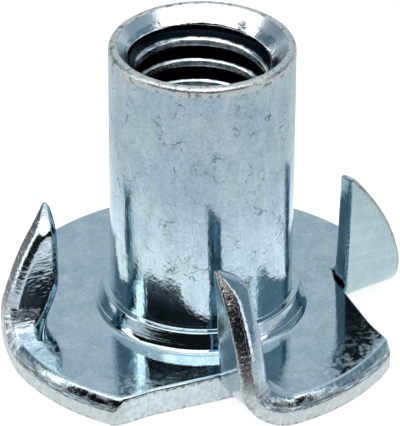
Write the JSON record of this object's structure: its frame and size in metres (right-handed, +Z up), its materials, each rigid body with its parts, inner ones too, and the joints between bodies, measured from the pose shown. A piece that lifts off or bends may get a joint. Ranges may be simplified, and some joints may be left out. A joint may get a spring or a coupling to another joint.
{
  "type": "tee nut",
  "caption": "Pronged tee nut: a threaded barrel on a round sheet flange, with sheared tabs folded up at the rim as pointed prongs that bite into wood.",
  "frame": {"origin": "centre of the flange's underside, on the barrel's axis", "axes": "+Z up the barrel, from the flange to the mouth; +X out through one prong"},
  "size_m": [0.022, 0.022, 0.0172],
  "materials": {
    "zinc_plate": "bright zinc plate with a pale blue passivation, mirror-like with fine scuffs"
  },
  "bodies": {
    "root": {"tee_nut": "zinc_plate"}
  },
  "joints": []
}
